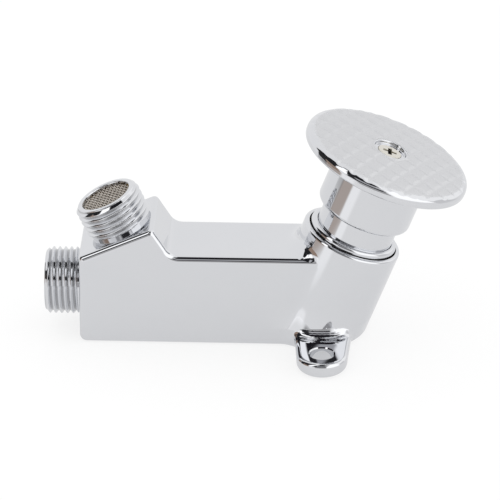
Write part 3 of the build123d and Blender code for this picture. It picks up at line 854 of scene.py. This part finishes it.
def pedalPlate():
    # half section carried round the stem: dome, rounded rim, underside, screw hole and recess; over the
    # dome and the rim's rounding every point sinks by the chequer's height, which fades out beside the
    # recess and down the rim's rounding
    radius, topRound, edge = plate["radius"], plate["topRound"], plate["edgeRound"]
    sphere = plate["domeRadius"]
    tilt = math.asin((radius - topRound) / (sphere - topRound))
    domeEnd = sphere * math.sin(tilt)
    centre = (radius - topRound, float(domeLevel(domeEnd)) - topRound * math.cos(tilt))
    turning = np.linspace(math.pi / 2 - tilt, 0, plate["rimRows"])[1:]
    domeStart = plate["recess"] + plate["recessRound"]
    domeR = np.linspace(domeStart, domeEnd, plate["domeRows"])
    r = np.concatenate([domeR, centre[0] + topRound * np.cos(turning)])[::-1, None]
    z = np.concatenate([domeLevel(domeR), centre[1] + topRound * np.sin(turning)])[::-1, None]
    angle = np.linspace(0, fullTurn, plate["segments"], endpoint=False)[None, :]
    height = chequerHeight(r * np.cos(angle), r * np.sin(angle))
    nearRecess = smoothStep((r - domeStart) / plate["recessFade"])
    nearRim = smoothStep((z - centre[1]) / topRound * plate["rimFade"] - (plate["rimFade"] - 1))
    top = placed(stem, r + 0 * angle, angle, z + height * nearRecess * nearRim)
    satin = smoothStep((domeEnd + plate["satinPast"] - r) / plate["satinFade"]) + 0 * angle
    recessTop = float(domeLevel(plate["recess"]))
    cone = plate["sinkRadius"] - plate["holeRadius"]
    rest, restOut = roundedLoop(
        [
            (plate["recess"], recessTop, plate["recessRound"]),
            (plate["recess"] - plate["recessTaper"], plate["recessFloor"], plate["floorRound"]),
            (plate["sinkRadius"], plate["recessFloor"], edge),
            (plate["holeRadius"], plate["recessFloor"] - cone, edge),
            (plate["holeRadius"], plate["low"], edge),
            (radius, plate["low"], plate["lowRound"]),
            (radius, centre[1] - plate["rimJoin"], 0.001),
        ],
        plate["edgeSteps"],
    )
    points = np.concatenate([top, placed(stem, rest[:, :1], angle, rest[:, 1:])])
    normals = np.concatenate([gridNormals(top), turnedNormal(stem, restOut[:, :1], angle, restOut[:, 1:])])
    faces = gridFaces(len(points), plate["segments"], True, True)
    paintedShadeOrSatin = np.concatenate([satin.reshape(-1), np.zeros(rest.shape[0] * plate["segments"])])
    return weldedMesh("pedalPlate", points.reshape(-1, 3), normals.reshape(-1, 3), faces, {"paintedShadeOrSatin": paintedShadeOrSatin})


finished(pedalPlate(), satinChrome, "plunger", "pedal_plate")


screw = {
    "headRadius": 3.75,
    "shankRadius": 1.95,
    "headFloor": 65.34,
    "headTop": 65.58,
    "headCrown": 0.08,
    "edgeRound": 0.16,
    "seatRound": 0.02,
    "neckRound": 0.05,
    "tip": 52.36,
    "tipRound": 0.35,
    "crossLength": 2.15,
    "crossWidth": 0.52,
    "crossDepth": 1.5,
    "crossEdge": 0.22,
    # painted shade in the cross recess: how far out it may reach, and how it grows with the recess's depth
    "shadeRadius": 2.6,
    "shadeRise": 1.6,
    "shadeStart": 0.3,
    "headRows": 74,
    "edgeSteps": 7,
    "segments": 288,
}


def crossSlot(along, across):
    # slot = smooth step at its ends * smooth step at its sides, which is half way at half the slot's width
    ends = smoothStep((screw["crossLength"] - np.abs(along)) / screw["crossEdge"])
    sides = smoothStep((screw["crossWidth"] - np.abs(across)) / screw["crossEdge"] + 0.5)
    return ends * sides


def pedalScrew():
    # polar grid over the head: level = crown - cross recess, where the recess is the deeper of two slots;
    # the edge, the countersunk cone and the shank follow as an outline
    angle = np.linspace(0, fullTurn, screw["segments"], endpoint=False)[None, :]
    headRadius, crown, edgeSteps = screw["headRadius"], screw["headCrown"], screw["edgeSteps"]
    r = np.linspace(0, headRadius - screw["edgeRound"], screw["headRows"])[::-1, None]
    a, b = r * np.cos(angle), r * np.sin(angle)
    recess = np.maximum(crossSlot(a, b), crossSlot(b, a))
    level = screw["headTop"] - crown * (r / headRadius) ** 2 - screw["crossDepth"] * recess
    top = placed(stem, r + 0 * angle, angle, level)
    cone = headRadius - screw["shankRadius"]
    outline, outward = roundedLoop(
        [
            (headRadius, screw["headTop"] - crown, screw["edgeRound"]),
            (headRadius, screw["headFloor"], screw["seatRound"]),
            (screw["shankRadius"], screw["headFloor"] - cone, screw["neckRound"]),
            (screw["shankRadius"], screw["tip"], screw["tipRound"]),
            (0.0, screw["tip"], 0.0),
        ][::-1],
        edgeSteps,
    )
    # of the corner on the axis only its last point is kept
    outline, outward = outline[edgeSteps - 1:], outward[edgeSteps - 1:]
    rest = placed(stem, outline[:, :1], angle, outline[:, 1:])
    restNormals = turnedNormal(stem, outward[:, :1], angle, outward[:, 1:])
    points = np.concatenate([rest, top])
    topNormals = gridNormals(top)
    topNormals[-1] = stem["along"]
    normals = np.concatenate([restNormals, topNormals])
    # painted shade in the cross recess, near black and rougher
    recessShade = smoothStep(recess * screw["shadeRise"] - screw["shadeStart"]) * (r < screw["shadeRadius"])
    paintedShadeOrSatin = np.concatenate([np.zeros(rest.shape[:2]), recessShade]).reshape(-1)
    faces = gridFaces(len(points), screw["segments"], False, True)
    return weldedMesh("pedalScrew", points.reshape(-1, 3), normals.reshape(-1, 3), faces, {"paintedShadeOrSatin": paintedShadeOrSatin})


finished(pedalScrew(), screwSteel, "plunger", "pedal_screw")


spring = {
    "radius": 9.0,
    "wire": 0.6,
    "low": 28.85,
    "high": 55.75,
    "turns": 5,
    "closedTurns": 1.0,
    "openingTurns": 0.5,
    "endPitch": 1.75,
    "steps": 360,
    "sides": 16,
}


def returnSpring():
    # wire middle = stem point at angle 2 pi * t, with t in turns, and a level that rises by the closer
    # pitch over the first and last turn and evenly between them; the section is a circle square to the wire
    turns, pitch = spring["turns"], spring["endPitch"]
    still, over = spring["closedTurns"], spring["openingTurns"]
    t = np.linspace(0, turns, spring["steps"])
    opening = smoothStep((t - still) / over) * smoothStep((turns - still - t) / over)
    closed = np.cumsum(1 - opening) * (t[1] - t[0]) * pitch
    opened = np.cumsum(opening)
    rise = spring["high"] - spring["low"] - closed[-1]
    level = spring["low"] + closed + rise * opened / opened[-1]
    line = placed(stem, np.full_like(t, spring["radius"]), fullTurn * t, level)
    ahead = np.gradient(line, axis=0)
    ahead /= np.linalg.norm(ahead, axis=1)[:, None]
    outward = placed(dict(stem, origin=np.zeros(3)), np.ones_like(t), fullTurn * t, 0 * t)
    upward = np.cross(outward, ahead)
    around = np.linspace(0, fullTurn, spring["sides"], endpoint=False)[None, :, None]
    normals = np.cos(around) * outward[:, None] + np.sin(around) * upward[:, None]
    points = line[:, None] + spring["wire"] * normals
    ends = [line[:1, None] + 0 * normals[:1], line[-1:, None] + 0 * normals[:1]]
    endNormals = [-ahead[:1, None] + 0 * normals[:1], ahead[-1:, None] + 0 * normals[:1]]
    points = np.concatenate([ends[0], points[:1], points, points[-1:], ends[1]])
    normals = np.concatenate([endNormals[0], endNormals[0], normals, endNormals[1], endNormals[1]])
    faces = gridFaces(len(points), spring["sides"], False, True)
    return weldedMesh("returnSpring", points.reshape(-1, 3), normals.reshape(-1, 3), faces)


springPiece = finished(returnSpring(), steel, "base", "return_spring")
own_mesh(springPiece)
print("inner pieces made")


def zone(azimuth, elevation, halfWidth, halfHeight, softness, colour):
    # part of the room round one direction in degrees: azimuth 0 is the photograph's side and -90 the arm's
    # end, elevation 90 is straight up and below 0 lies on the floor
    shape = {
        "Centre Azimuth": azimuth,
        "Centre Elevation": elevation,
        "Half Width": halfWidth,
        "Half Height": halfHeight,
        "Softness": softness,
    }
    return {"shape": shape, "colour": colour}


# what the metal mirrors: a pale wall all round, with brighter, grey, brown and nearly black patches; a
# later zone covers an earlier one
room = {
    "wall": (0.93, 0.93, 0.935),
    "floorHeight": 0.045,
    "zones": [
        zone(105, 34, 35, 22, 10, (1.08, 1.08, 1.08)),
        zone(98, 5, 13, 12, 8, (0.72, 0.72, 0.73)),
        zone(53, 32, 25, 28, 8, (1.35, 1.35, 1.35)),
        zone(-12, 42, 30, 20, 5, (0.03, 0.03, 0.033)),
        zone(3, 72, 44, 16, 5, (0.015, 0.015, 0.018)),
        zone(4, 43, 26, 5, 5, (0.50, 0.50, 0.52)),
        zone(-6, 9, 22, 6, 5, (0.40, 0.395, 0.40)),
        zone(0, 90, 180, 5, 4, (0.03, 0.03, 0.033)),
        zone(-48, -8, 6, 6, 9, (1.17, 1.17, 1.18)),
        zone(-53, 57, 9, 24, 5, (1.45, 1.45, 1.45)),
        zone(-74, 8, 12, 13, 6, (0.34, 0.25, 0.20)),
        zone(-88, 50, 22, 25, 4, (0.02, 0.02, 0.022)),
        zone(-94, 14, 7, 15, 4, (0.03, 0.03, 0.032)),
    ],
}


def zoneMask():
    # mask = step(|azimuth - centre| - half width) * step(|elevation - centre| - half height), where each
    # step falls smoothly from 1 to 0 over the softness
    names = ["Azimuth", "Elevation", "Centre Azimuth", "Centre Elevation"]
    names += ["Half Width", "Half Height", "Softness"]
    sockets = [(name, "NodeSocketFloat", 0.0) for name in names]
    group, start, end = newGroup("zoneMask", sockets, [("Mask", "NodeSocketFloat")])
    given = start.outputs
    turnedAway = mathNode(group, "SUBTRACT", given["Azimuth"], given["Centre Azimuth"])
    wrapped = mathNode(group, "ABSOLUTE", mathNode(group, "WRAP", turnedAway, 180.0, -180.0))
    raisedAway = mathNode(group, "SUBTRACT", given["Elevation"], given["Centre Elevation"])
    raised = mathNode(group, "ABSOLUTE", raisedAway)
    steps = []
    for offset, half in ((wrapped, given["Half Width"]), (raised, given["Half Height"])):
        fall = group.nodes.new("ShaderNodeMapRange")
        fall.interpolation_type = "SMOOTHSTEP"
        link(group, mathNode(group, "SUBTRACT", offset, half), fall.inputs["Value"])
        link(group, given["Softness"], fall.inputs["From Max"])
        fall.inputs["To Min"].default_value = 1.0
        fall.inputs["To Max"].default_value = 0.0
        steps.append(fall.outputs["Result"])
    link(group, mathNode(group, "MULTIPLY", *steps), end.inputs["Mask"])
    return group


zoneGroup = zoneMask()


def roomColour(tree, azimuth, elevation):
    # the wall, with the zones laid over it in their order
    colour = room["wall"]
    for part in room["zones"]:
        mask = tree.nodes.new("ShaderNodeGroup")
        mask.node_tree = zoneGroup
        link(tree, azimuth, mask.inputs["Azimuth"])
        link(tree, elevation, mask.inputs["Elevation"])
        for socketName, value in part["shape"].items():
            mask.inputs[socketName].default_value = value
        colour = colourMix(tree, mask.outputs["Mask"], colour, part["colour"])
    return colour


def azimuthOf(tree, split):
    # azimuth = atan2(x, -y)
    towards = mathNode(tree, "MULTIPLY", split.outputs["Y"], -1.0)
    return mathNode(tree, "DEGREES", mathNode(tree, "ARCTAN2", split.outputs["X"], towards))


def studioWorld():
    # mirrored rays see the room's colour at elevation = asin(z) and the azimuth of their direction, and all
    # other light is plain white
    world = bpy.data.worlds.new("studio")
    bpy.context.scene.world = world
    world.use_nodes = True
    tree = world.node_tree
    background = tree.nodes["Background"]
    background.inputs["Strength"].default_value = 1.0
    direction = tree.nodes.new("ShaderNodeTexCoord")
    split = tree.nodes.new("ShaderNodeSeparateXYZ")
    link(tree, direction.outputs["Generated"], split.inputs[0])
    azimuth = azimuthOf(tree, split)
    elevation = mathNode(tree, "DEGREES", mathNode(tree, "ARCSINE", split.outputs["Z"]))
    path = tree.nodes.new("ShaderNodeLightPath")
    colour = roomColour(tree, azimuth, elevation)
    seen = colourMix(tree, path.outputs["Is Glossy Ray"], (1.0, 1.0, 1.0), colour)
    link(tree, seen, background.inputs["Color"])


studioWorld()


stage = {
    "floorSize": 6.0,
    "floorDrop": 0.0001,
    "floorDiffuse": 0.25,
    "floorCamera": 0.77,
    "floorMirrored": 0.68,
}


def plainFloor():
    # square just below the valve's foot: to the camera its glow adds to the light on it, so the shadow
    # stays, and to mirrored rays it carries the room on below the horizon, at
    # elevation = -atan2(floor height, distance from the origin)
    half = stage["floorSize"] / 2
    low = -stage["floorDrop"]
    mesh = bpy.data.meshes.new("floor")
    corners = [(-half, -half, low), (half, -half, low), (half, half, low), (-half, half, low)]
    mesh.from_pydata(corners, [], [(0, 1, 2, 3)])
    material, tree, shader, place = shaderMaterial("paleFloor")
    shader.inputs["Base Color"].default_value = (stage["floorDiffuse"],) * 3 + (1.0,)
    shader.inputs["Roughness"].default_value = 1.0
    shader.inputs["Specular IOR Level"].default_value = 0.0
    path = tree.nodes.new("ShaderNodeLightPath")
    mirrored = mathNode(tree, "MAXIMUM", path.outputs["Is Glossy Ray"], path.outputs["Is Transmission Ray"])
    seen = mathNode(tree, "MULTIPLY", path.outputs["Is Camera Ray"], stage["floorCamera"])
    glow = mathNode(tree, "MULTIPLY_ADD", mirrored, stage["floorMirrored"], seen)
    link(tree, glow, shader.inputs["Emission Strength"])
    split = tree.nodes.new("ShaderNodeSeparateXYZ")
    link(tree, place.outputs["Object"], split.inputs[0])
    length = tree.nodes.new("ShaderNodeVectorMath")
    length.operation = "LENGTH"
    link(tree, place.outputs["Object"], length.inputs[0])
    fall = mathNode(tree, "ARCTAN2", room["floorHeight"], length.outputs["Value"])
    elevation = mathNode(tree, "MULTIPLY", mathNode(tree, "DEGREES", fall), -1.0)
    colour = roomColour(tree, azimuthOf(tree, split), elevation)
    link(tree, colourMix(tree, mirrored, (1.0, 1.0, 1.0), colour), shader.inputs["Emission Color"])
    mesh.materials.append(material)
    floor = bpy.data.objects.new("floor", mesh)
    bpy.context.scene.collection.objects.link(floor)


plainFloor()

# camera at the photograph's viewing angle
view = {
    "target": (-22.951, 0.0, 26.628),
    "distance": 1233.587,
    "azimuth": -2.216,
    "elevation": 27.097,
    "lens": 288.0,
    "sensor": 36.0,
    "clipStart": 0.01,
}


def placeCamera():
    # place = target - distance * forward, forward = (sin az cos el, cos az cos el, -sin el)
    azimuth, elevation = math.radians(view["azimuth"]), math.radians(view["elevation"])
    level = math.cos(elevation)
    forward = Vector((math.sin(azimuth) * level, math.cos(azimuth) * level, -math.sin(elevation)))
    rightward = Vector((math.cos(azimuth), -math.sin(azimuth), 0.0))
    upward = rightward.cross(forward)
    data = bpy.data.cameras.new("camera")
    data.lens = view["lens"]
    data.sensor_width = view["sensor"]
    data.clip_start = view["clipStart"]
    camera = bpy.data.objects.new("camera", data)
    turning = Matrix((rightward, upward, -forward)).transposed().to_4x4()
    place = (Vector(view["target"]) - forward * view["distance"]) * mm
    camera.matrix_world = Matrix.Translation(place) @ turning
    bpy.context.scene.collection.objects.link(camera)
    bpy.context.scene.camera = camera


placeCamera()
bpy.context.scene.view_settings.view_transform = "Standard"
print("stage made")
